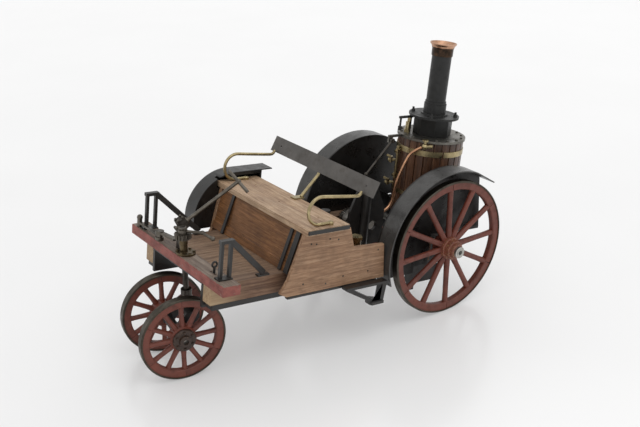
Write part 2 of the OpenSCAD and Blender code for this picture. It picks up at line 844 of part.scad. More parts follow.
module chimney() {
  top = chimney_top_z - 11;
  base = flange_z + 1.42;
  color("dimgray") in_body() at_boiler(0) difference() {
    union() {
      translate([0, 0, base]) cylinder(h = top - base, r = chimney_r);
      translate([0, 0, base]) cylinder(h = 10, r = chimney_r + 1.5);
      translate([0, 0, base]) cylinder(h = 12.4, r = chimney_r + 0.8);
    }
    translate([0, 0, base - 1]) cylinder(h = top - base + 2, r = chimney_r - 1.5);
  }
}

module chimney_cap() {
  top = chimney_top_z;
  color("chocolate") in_body() at_boiler(0) rotate_extrude()
    polygon([[chimney_r + 0.02, top - 13], [chimney_r + 0.8, top - 13], [chimney_r + 0.9, top - 6],
      [chimney_r + 1.8, top - 3], [chimney_r + 3.5, top - 0.9], [chimney_r + 3.5, top],
      [chimney_r + 2.4, top], [chimney_r - 0.4, top - 4], [chimney_r - 0.7, top - 10.98],
      [chimney_r + 0.02, top - 10.98]]);
}

module ash_pan() {
  t = 1.5;
  color("black") in_body() difference() {
    union() {
      box([boiler_x - 26, -26, 46], [boiler_x + 20, 26, boiler_bottom_z - 0.02]);
      box([-60, -58.3, 75.6], [-30, 58.3, boiler_bottom_z - 0.02]);
    }
    box([boiler_x - 26 + t, -26 + t, 46 + t], [boiler_x + 20 - t, 26 - t, boiler_bottom_z + 1]);
    box([boiler_x - 40, -14, 52], [boiler_x - 20, 14, 66]);
  }
}

module fire_door() {
  x = -boiler_r - 0.4;
  color("black") in_body() at_boiler(boiler_bottom_z + door_dz) difference() {
    union() {
      translate([x - 1.8, 0, 0]) rotate([0, 90, 0]) cylinder(h = 1.8, r = door_r);
      y_cyl(x - 2.4, 0, -4, 4, 1);
      for (s = [-1, 1]) box([x - 1.8, 5, s * 3.6 - 1], [x, hinge_y, s * 3.6 + 1]);
      translate([x - 0.9, hinge_y, -5]) cylinder(h = 10, r = 1.6);
    }
    translate([x - 0.9, hinge_y, -6]) cylinder(h = 12, r = 0.75);
  }
}

// safety valve on the top plate, with its weighted lever just under the smokebox flange
valve_x = -8.4;
valve_y = -13;
lever_x = -13.4;
lever_z = boiler_top_z + 16.4;
lever_end_x = 2.3;

module safety_valve() {
  z = boiler_top_z + 0.02;
  color("goldenrod") in_body() {
    translate([valve_x, valve_y, z]) cylinder(h = 3, r = 3.4);
    translate([valve_x, valve_y, z]) cylinder(h = 11, r = 2.3);
    translate([valve_x, valve_y, z]) cylinder(h = 14.8, r = 1);
    box([lever_x - 1.2, valve_y - 3.4, z], [lever_x + 1.2, valve_y - 1.4, lever_z + 1.4]);
    y_cyl(lever_x, lever_z, valve_y - 2, valve_y + 1.4, 0.7);
  }
}

module safety_lever() {
  color("dimgray") in_body() {
    difference() {
      bar_xz([lever_x - 1.2, lever_z], [lever_end_x + 2, lever_z], 2.4, valve_y, 2);
      y_cyl(lever_x, lever_z, valve_y - 3, valve_y + 3, 0.75);
    }
    translate([lever_end_x, valve_y, boiler_top_z + 3.6]) cylinder(h = 12.4, r = 1.1);
    translate([lever_end_x, valve_y, boiler_top_z + 3]) cylinder(h = 4, r = 2);
  }
}

// cock standing out of the boiler at an angle round it
module cock(a, z, reach) {
  at_boiler(z) rotate([0, 0, a]) {
    rod([boiler_r + 0.15, 0, 0], [boiler_r + reach, 0, 0], 1.5);
    translate([boiler_r + reach - 3, 0, -2.6]) cylinder(h = 6.4, r = 2);
    rod([boiler_r + reach - 3, 0, 3.2], [boiler_r + reach + 2, 0, 4.6], 1.1);
  }
}

module water_gauge() {
  color("goldenrod") in_body() {
    at_boiler(0) rotate([0, 0, -14.4]) {
      translate([boiler_r + 3, 0, 117]) cylinder(h = 34, r = 1.3);
      for (z = [121, 146.4]) {
        rod([boiler_r + 0.3, 0, z], [boiler_r + 6.4, 0, z], 1.4);
        translate([boiler_r + 3, 0, z - 2.2]) cylinder(h = 4.4, r = 2.4, $fn = 6);
      }
      translate([boiler_r + 3, 0, 150.4]) cylinder(h = 1.4, r = 2);
    }
    cock(-33, 109, 9);
    cock(-36, 133, 8);
  }
}

// copper pipe from the steam valve, over and down to the engine
module steam_pipe() {
  points = [[0.8, 21.4, 158.6], [9, 13, 148], [19, 9.6, 118], [20, 8, 100], [37, 8, 88]];
  color("chocolate") in_body() {
    for (i = [0:len(points) - 2]) rod(points[i], points[i + 1], 1.5);
    for (i = [1:len(points) - 2]) translate(points[i]) sphere(1.9);
    y_cyl(37, 88, 6, 9.95, 2.8);
  }
}

module steam_valve() {
  color("goldenrod") in_body() at_boiler(159.8) rotate([0, 0, 38]) {
    rod([boiler_r + 0.15, 0, 0], [boiler_r + 5, 0, 0], 2.2);
    translate([boiler_r + 5, 0, 0]) sphere(3);
    rod([boiler_r + 5, 0, 0], [boiler_r + 5, 8, 1], 1.9);
    translate([boiler_r + 5, 0, 0]) cylinder(h = 6, r = 1.3);
    translate([boiler_r + 5, 0, 5.6]) cylinder(h = 1.6, r = 3.2);
  }
}

module regulator_lever() {
  color("gray") in_body() difference() {
    union() {
      rod([18, -5, 160], [48, -5, 127], 1.2);
      y_cyl(18, 160, -6.6, -3.4, 2.3);
      translate([48, -5, 127]) sphere(2.2);
    }
    y_cyl(18, 160, -8, -2, 0.85);
  }
}

module feed_pump() {
  color("darkgoldenrod") in_body() {
    translate([100, 50, rail_top + 0.1]) cylinder(h = 4, r = 7);
    translate([100, 50, rail_top + 4]) cylinder(h = 12, r = 5);
    translate([100, 50, rail_top + 15.9]) cylinder(h = 3, r = 6.4, $fn = 6);
    rod([100, 45.4, rail_top + 9], [100, 30, rail_top + 9], 1.8);
  }
}

frame_rails();
cross_members();
frame_irons();
floor_boards();
front_plank();
seat_front_panel();
side_panel_left();
side_panel_right();
bay_bulkhead();
seat_plank();
seat_irons();
backrest_plate();
backrest_stay();
armrail_left();
armrail_right();
steps();
front_stands();
steering_transom();
column_bearing();
steering_box();
link_bar();
kingpin();
steering_gear();
steering_shaft();
bogie_frame();
front_axle();
front_wheel_left();
front_wheel_right();
front_tyre_left();
front_tyre_right();
rear_axle();
rear_wheel_left();
rear_wheel_right();
rear_tyre_left();
rear_tyre_right();
axle_gear();
crankshaft();
crosshead();
connecting_rod();
engine_block();
axle_bearings();
mudguard_left();
mudguard_right();
side_casing();
boiler_shell();
boiler_lagging();
boiler_bands();
boiler_top();
smokebox();
chimney();
chimney_cap();
ash_pan();
fire_door();
safety_lever();
safety_valve();
water_gauge();
steam_pipe();
steam_valve();
regulator_lever();
feed_pump();
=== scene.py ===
"""Model steam road carriage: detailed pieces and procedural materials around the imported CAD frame."""

import json
import math
import random

import bmesh
import bpy
from mathutils import Matrix, Vector

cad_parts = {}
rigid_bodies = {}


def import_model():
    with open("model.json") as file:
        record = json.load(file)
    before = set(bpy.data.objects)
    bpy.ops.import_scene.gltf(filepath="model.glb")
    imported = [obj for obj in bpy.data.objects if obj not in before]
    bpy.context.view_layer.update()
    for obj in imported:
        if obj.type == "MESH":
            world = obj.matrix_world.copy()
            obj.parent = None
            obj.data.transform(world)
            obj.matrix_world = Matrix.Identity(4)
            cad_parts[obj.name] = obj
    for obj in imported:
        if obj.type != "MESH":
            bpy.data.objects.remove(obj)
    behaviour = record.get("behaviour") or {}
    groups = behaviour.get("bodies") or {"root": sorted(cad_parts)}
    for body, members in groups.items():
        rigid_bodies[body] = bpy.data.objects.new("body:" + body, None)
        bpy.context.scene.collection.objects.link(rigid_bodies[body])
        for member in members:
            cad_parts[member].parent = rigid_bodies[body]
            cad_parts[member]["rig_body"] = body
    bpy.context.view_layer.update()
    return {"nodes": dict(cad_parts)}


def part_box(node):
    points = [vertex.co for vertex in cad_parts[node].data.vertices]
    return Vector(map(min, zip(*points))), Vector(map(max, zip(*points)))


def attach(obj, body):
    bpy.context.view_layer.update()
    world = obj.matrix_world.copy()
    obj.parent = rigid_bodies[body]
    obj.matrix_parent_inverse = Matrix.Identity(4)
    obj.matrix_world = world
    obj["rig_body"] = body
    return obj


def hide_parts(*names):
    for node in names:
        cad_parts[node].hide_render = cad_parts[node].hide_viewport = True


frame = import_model()
NODES = frame["nodes"]
rng = random.Random(7)

# ---------------------------------------------------------------- camera, floor, light

scene = bpy.context.scene
scene.view_settings.view_transform = "Standard"

cam_data = bpy.data.cameras.new("camera")
cam_data.sensor_width = 36
cam_data.lens = 55.2
cam_data.clip_start, cam_data.clip_end = 0.01, 50
camera = bpy.data.objects.new("camera", cam_data)
camera.location = (0.5152, 0.7114, 0.4887)
look = Vector((-0.5501, -0.7358, -0.3950))
camera.rotation_mode = "QUATERNION"
camera.rotation_quaternion = look.to_track_quat("-Z", "Y")
scene.collection.objects.link(camera)
scene.camera = camera

world = bpy.data.worlds.new("studio")
world.use_nodes = True
world.node_tree.nodes["Background"].inputs["Color"].default_value = (1.0, 1.0, 1.0, 1)
world.node_tree.nodes["Background"].inputs["Strength"].default_value = 0.93
scene.world = world


def area_light(name, place, size, watts):
    """A round soft light that looks at the middle of the object."""
    data = bpy.data.lights.new(name, "AREA")
    data.shape = "DISK"
    data.size = size
    data.energy = watts
    lamp = bpy.data.objects.new(name, data)
    lamp.location = place
    lamp.rotation_mode = "QUATERNION"
    lamp.rotation_quaternion = (Vector((0, 0, 0.1)) - Vector(place)).to_track_quat("-Z", "Y")
    scene.collection.objects.link(lamp)


area_light("key", (-0.1, 1.0, 1.9), 1.8, 6.0)
area_light("rim", (-1.4, -0.6, 1.4), 0.9, 2.0)

# ---------------------------------------------------------------- frames of the CAD, in mm

PITCH = math.radians(6.8)   # the body stands nose up on its wheels
STEER = math.radians(9.7)   # the bogie is turned at rest
REAR_R = 70
FRONT_R = 40
TYRE_W = 8
BOILER_X = -31.2
SHELL_R = 31.1              # the boiler's shell, with its clearance
LAGGING_R = 34.0
PLANK_FRONT = 268
PLANK_HALF = 0.0828         # half the front plank's length, in metres
RAIL_TOP = 68.3             # just under the rails' upper faces
MM = Matrix.Scale(0.001, 4)


def middle(node):
    low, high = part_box(node)
    return (low + high) * 500.0


AXLE_MM = middle("rear_axle")
KINGPIN_MM = middle("kingpin")
GROUND = MM @ Matrix.Translation((AXLE_MM.x, 0, 0))
BODY = (GROUND @ Matrix.Translation((0, 0, REAR_R)) @ Matrix.Rotation(-PITCH, 4, "Y")
        @ Matrix.Translation((0, 0, -REAR_R)))
BOGIE = MM @ Matrix.Translation((KINGPIN_MM.x, KINGPIN_MM.y, 0)) @ Matrix.Rotation(-STEER, 4, "Z")
FLIP_Y = Matrix.Diagonal((1, -1, 1, 1))

# ---------------------------------------------------------------- materials


class Tree:
    """Short ways of making one material's nodes."""

    def __init__(self, name):
        self.mat = bpy.data.materials.new(name)
        self.mat.use_nodes = True
        self.nodes = self.mat.node_tree.nodes
        self.links = self.mat.node_tree.links
        self.shader = self.nodes["Principled BSDF"]
        self.place = self.nodes.new("ShaderNodeTexCoord").outputs["Object"]

    def new(self, kind, **inputs):
        node = self.nodes.new("ShaderNode" + kind)
        for key, value in inputs.items():
            self.put(node.inputs[key.replace("_", " ")], value)
        return node

    def put(self, socket, value):
        if isinstance(value, bpy.types.NodeSocket):
            self.links.new(value, socket)
        else:
            socket.default_value = value

    def turned(self, rotation=(0, 0, 0), scale=(1, 1, 1)):
        first = self.new("Mapping", Vector=self.place, Rotation=rotation)
        return self.new("Mapping", Vector=first.outputs[0], Scale=scale).outputs[0]

    def noise(self, vector, scale=1.0, detail=3.0, rough=0.55, distortion=0.0):
        return self.new("TexNoise", Vector=vector, Scale=scale, Detail=detail, Roughness=rough,
                        Distortion=distortion).outputs["Fac"]

    def ramp(self, fac, stops):
        node = self.new("ValToRGB", Fac=fac)
        ramp = node.color_ramp
        while len(ramp.elements) < len(stops):
            ramp.elements.new(0.5)
        for element, (pos, colour) in zip(ramp.elements, stops):
            element.position = pos
            element.color = (*colour, 1)
        return node.outputs["Color"]

    def grey(self, fac, low, high, at=(0.35, 0.65)):
        return self.ramp(fac, [(at[0], (low,) * 3), (at[1], (high,) * 3)])

    def mix(self, fac, a, b, blend="MIX"):
        node = self.nodes.new("ShaderNodeMix")
        node.data_type = "RGBA"
        node.blend_type = blend
        self.put(node.inputs[0], fac)
        self.put(node.inputs[6], a if isinstance(a, bpy.types.NodeSocket) else (*a, 1))
        self.put(node.inputs[7], b if isinstance(b, bpy.types.NodeSocket) else (*b, 1))
        return node.outputs[2]

    def toned(self, colour, low, high):
        """Lightens or darkens a colour by the tone of the piece of timber that a vertex belongs to."""
        attribute = self.new("Attribute")
        attribute.attribute_name = "tone"
        return self.mix(1.0, colour, self.grey(attribute.outputs["Fac"], low, high, (0, 1)), "MULTIPLY")

    def bump(self, height, distance, strength):
        node = self.new("Bump", Height=height, Distance=distance, Strength=strength)
        self.put(self.shader.inputs["Normal"], node.outputs[0])

    def finish(self, colour, rough, metallic=0.0, **constants):
        self.put(self.shader.inputs["Base Color"], colour)
        self.put(self.shader.inputs["Roughness"], rough)
        self.shader.inputs["Metallic"].default_value = metallic
        for key, value in constants.items():
            self.shader.inputs[key.replace("_", " ")].default_value = value
        return self.mat


GRAIN = {"x": (38, 780, 780), "y": (780, 38, 780), "z": (780, 780, 38)}


def wood(name, dark, mid, light, along, rough=(0.5, 0.72), toned=False):
    """Planed timber: long grain lines, pores, blotches of handling, and tone from piece to piece."""
    t = Tree(name)
    level = (0, PITCH, 0)
    coarse = t.noise(t.turned(level, GRAIN[along]), 0.55, 4, 0.6, 0.6)
    fine = t.noise(t.turned(level, tuple(2.6 * v for v in GRAIN[along])), 1.0, 2, 0.7)
    colour = t.ramp(coarse, [(0.3, dark), (0.5, mid), (0.7, light)])
    colour = t.mix(t.grey(fine, 0.0, 0.5, (0.5, 0.68)), colour, tuple(0.45 * v for v in dark))
    stain = t.noise(t.turned(level), 55, 4, 0.6, 0.4)
    colour = t.mix(t.grey(stain, 0.0, 0.45, (0.42, 0.72)), colour, tuple(0.55 * v for v in dark))
    if toned:
        colour = t.toned(colour, 0.62, 1.28)
    t.bump(coarse, 0.00035, 0.35)
    return t.finish(colour, t.grey(fine, *rough))


def painted(name, base, wear, dirt, scale=170, rough=(0.4, 0.62), chips=(0.62, 0.68), toned=False,
            metallic=0.0):
    """Old paint: colour drift, grime, and chips that show what lies below."""
    t = Tree(name)
    at = t.turned()
    drift = t.noise(at, scale * 0.3, 4, 0.6)
    grime = t.noise(at, scale * 0.9, 5, 0.65, 0.3)
    chip = t.noise(at, scale * 3.2, 6, 0.75)
    colour = t.mix(t.grey(drift, 0.0, 0.7), base, tuple(0.62 * v for v in base))
    colour = t.mix(t.grey(grime, 0.0, 0.6, (0.5, 0.75)), colour, dirt)
    colour = t.mix(t.grey(chip, 0.0, 0.85, chips), colour, wear)
    if toned:
        colour = t.toned(colour, 0.7, 1.25)
    t.bump(chip, 0.00012, 0.4)
    return t.finish(colour, t.grey(grime, *rough), metallic)


def metal(name, bright, dull, rough, spots=0.6):
    """Bare metal: tarnish in patches and pits."""
    t = Tree(name)
    at = t.turned()
    patch = t.noise(at, 104, 4, 0.6, 0.5)
    pit = t.noise(at, 1300, 3, 0.6)
    colour = t.mix(t.grey(patch, 0.0, spots, (0.38, 0.66)), bright, dull)
    colour = t.mix(t.grey(pit, 0.0, 0.5, (0.56, 0.72)), colour, tuple(0.5 * v for v in dull))
    t.bump(pit, 0.00008, 0.35)
    return t.finish(colour, t.grey(patch, *rough), 1.0)


def along(t, axis):
    """One coordinate in the pitched frame of the carriage body, in metres from the row's origin."""
    sep = t.new("SeparateXYZ", Vector=t.turned((0, PITCH, 0)))
    return sep.outputs[axis]


def body_place(x, z):
    return Matrix.Rotation(PITCH, 3, "Y") @ (BODY @ Vector((x, 0, z)))


def less(t, value, limit, soft=0.0003):
    """1 below the limit and 0 above it, with a short slope."""
    node = t.nodes.new("ShaderNodeMapRange")
    t.put(node.inputs["Value"], value)
    node.inputs["From Min"].default_value = limit - soft
    node.inputs["From Max"].default_value = limit + soft
    node.inputs["To Min"].default_value = 1
    node.inputs["To Max"].default_value = 0
    return node.outputs["Result"]


def math_node(t, kind, a, b=0.0):
    node = t.nodes.new("ShaderNodeMath")
    node.operation = kind
    t.put(node.inputs[0], a)
    t.put(node.inputs[1], b)
    return node.outputs[0]


def overlay(name, colour_mask):
    """Lays a second colour over a finished material; colour_mask(tree) gives the mask and the colour."""
    mat = M[name]
    t = Tree.__new__(Tree)
    t.mat, t.nodes, t.links = mat, mat.node_tree.nodes, mat.node_tree.links
    t.shader = t.nodes["Principled BSDF"]
    t.place = next(n for n in t.nodes if n.type == "TEX_COORD").outputs["Object"]
    base = t.shader.inputs["Base Color"].links[0].from_socket
    mask, colour = colour_mask(t)
    t.put(t.shader.inputs["Base Color"], t.mix(mask, base, colour))


def painted_plank(t):
    """Red paint on the plank's front edge and ends, worn through in places."""
    front = math_node(t, "SUBTRACT", body_place(PLANK_FRONT, 73).x, along(t, 0))
    side = math_node(t, "SUBTRACT", PLANK_HALF, math_node(t, "ABSOLUTE", along(t, 1)))
    depth = math_node(t, "MULTIPLY", math_node(t, "MINIMUM", front, side), 260)
    wobble = t.noise(t.turned(), 240, 5, 0.7)
    worn = math_node(t, "ADD", depth, wobble)
    tint = t.ramp(t.noise(t.turned(), 90, 4, 0.6),
                  [(0.35, (0.14, 0.032, 0.024)), (0.65, (0.27, 0.08, 0.062))])
    return less(t, worn, 0.64, 0.05), tint


def trodden_top(t):
    """The rails' upper faces are as brown and dirty as the floor boards beside them."""
    mask = less(t, along(t, 2), body_place(0, RAIL_TOP).z)
    tint = t.ramp(t.noise(t.turned((0, PITCH, 0), GRAIN["x"]), 0.55, 4, 0.6),
                  [(0.3, (0.09, 0.05, 0.03)), (0.7, (0.22, 0.14, 0.09))])
    return math_node(t, "SUBTRACT", 1.0, mask), tint


def painted_shade_inside(t):
    """Painted shade: the inner sheets of the mudguards are darkened, standing in for the shade that falls
    inside the guards.
    """
    tint = t.ramp(t.noise(t.turned(), 60, 4, 0.6),
                  [(0.35, (0.009, 0.0085, 0.008)), (0.7, (0.022, 0.02, 0.018))])
    return less(t, math_node(t, "ABSOLUTE", along(t, 1)), 0.0605), tint


def cap_lip(t):
    """Only the flared lip of the chimney cap is bright; below it the copper has gone black."""
    tint = t.ramp(t.noise(t.turned(), 200, 4, 0.6),
                  [(0.35, (0.02, 0.017, 0.014)), (0.7, (0.085, 0.05, 0.032))])
    wobble = math_node(t, "MULTIPLY", t.noise(t.turned(), 300, 3, 0.6), 0.002)
    return less(t, math_node(t, "ADD", along(t, 2), wobble), body_place(BOILER_X, 256.8).z, 0.0006), tint


def end_grain(t):
    """Bare timber shows pale at the front ends of the rails and gets browner behind."""
    back = math_node(t, "SUBTRACT", along(t, 0), body_place(PLANK_FRONT - 3.4, 60).x)
    near = math_node(t, "ADD", math_node(t, "MULTIPLY", back, 24), 1.0)
    low = less(t, along(t, 2), body_place(0, RAIL_TOP).z)
    pale = t.ramp(t.noise(t.turned((0, PITCH, 0), GRAIN["x"]), 0.5, 4, 0.6),
                  [(0.3, (0.28, 0.175, 0.09)), (0.7, (0.44, 0.32, 0.19))])
    bare = t.grey(t.noise(t.turned(), 40, 3, 0.6), 0.6, 1.0)
    front_side = math_node(t, "MULTIPLY", t.grey(near, 0, 1, (0.1, 0.95)), low)
    return math_node(t, "MULTIPLY", front_side, bare), pale


def dark_centre(t):
    """The axle's ends are darker than the nuts around them."""
    sep = t.new("SeparateXYZ", Vector=t.turned())
    x = math_node(t, "SUBTRACT", sep.outputs[0], AXLE_MM.x / 1000)
    z = math_node(t, "SUBTRACT", sep.outputs[2], REAR_R / 1000)
    squares = math_node(t, "ADD", math_node(t, "MULTIPLY", x, x), math_node(t, "MULTIPLY", z, z))
    reach = math_node(t, "SQRT", squares)
    tint = t.ramp(t.noise(t.turned(), 500, 3, 0.6), [(0.35, (0.03, 0.032, 0.03)), (0.7, (0.1, 0.1, 0.09))])
    return less(t, reach, 0.0024, 0.0003), tint


M = {
    "rail": wood("rail_timber", (0.075, 0.035, 0.018), (0.14, 0.072, 0.04), (0.24, 0.14, 0.082), "x"),
    "seat": wood("seat_timber", (0.25, 0.145, 0.085), (0.43, 0.29, 0.18), (0.55, 0.4, 0.27), "y"),
    "floor": wood("floor_timber", (0.11, 0.062, 0.036), (0.22, 0.135, 0.08), (0.31, 0.21, 0.135), "x"),
    "side": wood("side_timber", (0.17, 0.085, 0.045), (0.29, 0.165, 0.09), (0.4, 0.25, 0.15), "x"),
    "panel": wood("panel_timber", (0.09, 0.035, 0.012), (0.18, 0.075, 0.022), (0.28, 0.125, 0.045), "y"),
    "plank": wood("plank_timber", (0.12, 0.085, 0.065), (0.2, 0.15, 0.115), (0.29, 0.23, 0.18), "y"),
    "stave": wood("stave_timber", (0.035, 0.015, 0.008), (0.085, 0.038, 0.019), (0.155, 0.077, 0.042), "z",
                  (0.25, 0.42), toned=True),
    "oxide": painted("oxide_paint", (0.155, 0.036, 0.02), (0.11, 0.06, 0.038), (0.032, 0.014, 0.009),
                     toned=True, chips=(0.6, 0.66)),
    "hub": painted("hub_paint", (0.19, 0.05, 0.028), (0.4, 0.27, 0.12), (0.07, 0.03, 0.018), 240,
                   chips=(0.55, 0.62)),
    "tyre": metal("tyre_metal", (0.085, 0.075, 0.06), (0.045, 0.037, 0.028), rough=(0.36, 0.58)),
    "black": painted("black_paint", (0.016, 0.015, 0.014), (0.085, 0.07, 0.055), (0.035, 0.026, 0.02),
                     rough=(0.3, 0.52), chips=(0.64, 0.7)),
    "iron": metal("dark_iron", (0.09, 0.082, 0.072), (0.035, 0.029, 0.024), rough=(0.3, 0.5), spots=0.8),
    # The mudguards' dark grey paint is lightened, partly as painted sheen on their outer strips.
    "sheet": painted("sheet_paint", (0.075, 0.073, 0.07), (0.16, 0.155, 0.15), (0.03, 0.028, 0.025),
                     120, (0.24, 0.42), (0.68, 0.76), metallic=0.4),
    # The backrest's dark paint is lightened, partly as painted light on the plate's lit top.
    "back": painted("back_paint", (0.1, 0.092, 0.084), (0.18, 0.17, 0.15), (0.048, 0.038, 0.03),
                    150, (0.28, 0.48), (0.64, 0.72), metallic=0.35),
    # The casing's black is darker than the other black paint, partly as painted shade on its inside.
    "casing": painted("casing_paint", (0.01, 0.0095, 0.009), (0.06, 0.055, 0.05), (0.024, 0.017, 0.012),
                      130, (0.26, 0.46), (0.66, 0.74)),
    "boiler": painted("boiler_paint", (0.017, 0.017, 0.0165), (0.085, 0.08, 0.072), (0.009, 0.009, 0.0085),
                      220, (0.36, 0.56), (0.63, 0.72), metallic=0.3),
    "bronze": metal("dark_bronze", (0.13, 0.098, 0.056), (0.042, 0.032, 0.02), rough=(0.28, 0.5)),
    "bar": metal("bar_iron", (0.14, 0.125, 0.105), (0.055, 0.047, 0.038), rough=(0.28, 0.48)),
    "steel": metal("worn_steel", (0.36, 0.34, 0.31), (0.15, 0.135, 0.115), rough=(0.26, 0.45)),
    "plate": metal("plate_steel", (0.2, 0.19, 0.17), (0.09, 0.083, 0.07), rough=(0.34, 0.55)),
    "brass": metal("old_brass", (0.44, 0.36, 0.2), (0.2, 0.16, 0.09), rough=(0.24, 0.42)),
    "axle": metal("axle_steel", (0.5, 0.49, 0.46), (0.3, 0.29, 0.26), rough=(0.28, 0.45)),
    "lip": metal("lip_copper", (0.58, 0.34, 0.22), (0.3, 0.165, 0.1), rough=(0.28, 0.44)),
    "copper": metal("old_copper", (0.62, 0.34, 0.2), (0.33, 0.17, 0.1), rough=(0.3, 0.46)),
    "cap": painted("cap_paint", (0.034, 0.015, 0.0075), (0.13, 0.065, 0.032), (0.012, 0.008, 0.005),
                   260, (0.35, 0.55), (0.56, 0.66)),
}
overlay("plank", painted_plank)
overlay("rail", trodden_top)
overlay("rail", end_grain)
# Painted shade on the inner sheets of the mudguards.
overlay("sheet", painted_shade_inside)
overlay("lip", cap_lip)
overlay("axle", dark_centre)

# ---------------------------------------------------------------- shapes in mm


class Shape:
    """Vertices and faces in a local frame, with a tone for each vertex."""

    def __init__(self):
        self.verts, self.faces, self.tones = [], [], []

    def add(self, verts, faces, tone=0.5):
        start = len(self.verts)
        self.verts += [tuple(v) for v in verts]
        self.faces += [tuple(start + i for i in face) for face in faces]
        self.tones += [tone] * len(verts)

    def loft(self, rings, tone=0.5, closed=False):
        """Skin over rings of equal length; closed joins the last ring to the first."""
        n = len(rings[0])
        faces = []
        for k in range(len(rings) if closed else len(rings) - 1):
            a, b = k * n, (k + 1) % len(rings) * n
            faces += [(a + i, a + (i + 1) % n, b + (i + 1) % n, b + i) for i in range(n)]
        if not closed:
            faces += [tuple(reversed(range(n))), tuple(range((len(rings) - 1) * n, len(rings) * n))]
        self.add([p for ring in rings for p in ring], faces, tone)

    def lathe(self, profile, n=96, start=0.0, sweep=2 * math.pi, tone=0.5):
        """Turns a closed outline of (y, radius) about the Y axis."""
        full = sweep > 6.28
        count = n if full else n + 1
        rings = []
        for k in range(count):
            a = start + sweep * k / n
            rings.append([(r * math.sin(a), y, r * math.cos(a)) for y, r in profile])
        self.loft(rings, tone, closed=full)

    def tube(self, points, radius, n=14):
        """Round bar along a path, with the cross-section carried without twist."""
        points = [Vector(p) for p in points]
        side = None
        rings = []
        for k, p in enumerate(points):
            ahead = points[min(k + 1, len(points) - 1)] - points[max(k - 1, 0)]
            ahead.normalize()
            if side is None:
                side = ahead.orthogonal().normalized()
            side = (side - ahead * side.dot(ahead)).normalized()
            up = ahead.cross(side)
            r = radius(k / (len(points) - 1))
            rings.append([p + (side * math.cos(2 * math.pi * i / n) + up * math.sin(2 * math.pi * i / n)) * r
                          for i in range(n)])
        self.loft(rings)


def smooth_path(points):
    """Catmull-Rom curve through the points, in eight steps from each to the next."""
    pts = [Vector(p) for p in points]
    pts = [pts[0] * 2 - pts[1], *pts, pts[-1] * 2 - pts[-2]]
    out = []
    for a, b, c, d in zip(pts, pts[1:], pts[2:], pts[3:]):
        for k in range(8):
            t = k / 8
            out.append(0.5 * (2 * b + (c - a) * t + (2 * a - 5 * b + 4 * c - d) * t * t
                              + (3 * b - a - 3 * c + d) * t ** 3))
    return [*out, pts[-2]]


def piece(name, shape, matrix, material, body, replaces=(), bevel=0.0):
    """One Blender object from a shape, riding on a CAD body."""
    mesh = bpy.data.meshes.new(name)
    faces = shape.faces
    if matrix.determinant() < 0:
        faces = [tuple(reversed(face)) for face in faces]
    mesh.from_pydata([matrix @ Vector(v) for v in shape.verts], [], faces)
    tone = mesh.attributes.new("tone", "FLOAT", "POINT")
    tone.data.foreach_set("value", shape.tones)
    bm = bmesh.new()
    bm.from_mesh(mesh)
    bmesh.ops.recalc_face_normals(bm, faces=bm.faces)
    bm.to_mesh(mesh)
    bm.free()
    mesh.polygons.foreach_set("use_smooth", [True] * len(mesh.polygons))
    mesh.set_sharp_from_angle(angle=math.radians(35))
    mesh.materials.append(M[material])
    obj = bpy.data.objects.new(name, mesh)
    scene.collection.objects.link(obj)
    if bevel:
        mod = obj.modifiers.new("soft_edges", "BEVEL")
        mod.width = bevel / 1000
        mod.segments = 2
        mod.limit_method = "ANGLE"
    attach(obj, body)
    if replaces:
        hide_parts(*replaces)
    return obj


def soften(material, width, *names):
    """CAD parts redrawn with their sharp edges rounded, so that the edges catch the light."""
    for name in names:
        source = NODES[name]
        mesh = source.data.copy()
        mesh.name = name + "_soft"
        bm = bmesh.new()
        bm.from_mesh(mesh)
        bmesh.ops.remove_doubles(bm, verts=bm.verts, dist=2e-6)
        bmesh.ops.dissolve_limit(bm, angle_limit=math.radians(1), verts=bm.verts, edges=bm.edges)
        bm.to_mesh(mesh)
        bm.free()
        mesh.polygons.foreach_set("use_smooth", [True] * len(mesh.polygons))
        mesh.set_sharp_from_angle(angle=math.radians(35))
        mesh.materials.clear()
        mesh.materials.append(M[material])
        obj = bpy.data.objects.new(name + "_soft", mesh)
        scene.collection.objects.link(obj)
        mod = obj.modifiers.new("soft_edges", "BEVEL")
        mod.width = width / 1000
        mod.segments = 2
        mod.limit_method = "ANGLE"
        mod.angle_limit = math.radians(38)
        mod.use_clamp_overlap = True
        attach(obj, source["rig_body"])
        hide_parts(name)


def finish_nodes(material, *names):
    for name in names:
        mesh = NODES[name].data
        mesh.materials.clear()
        mesh.materials.append(M[material])


# ---------------------------------------------------------------- wheels


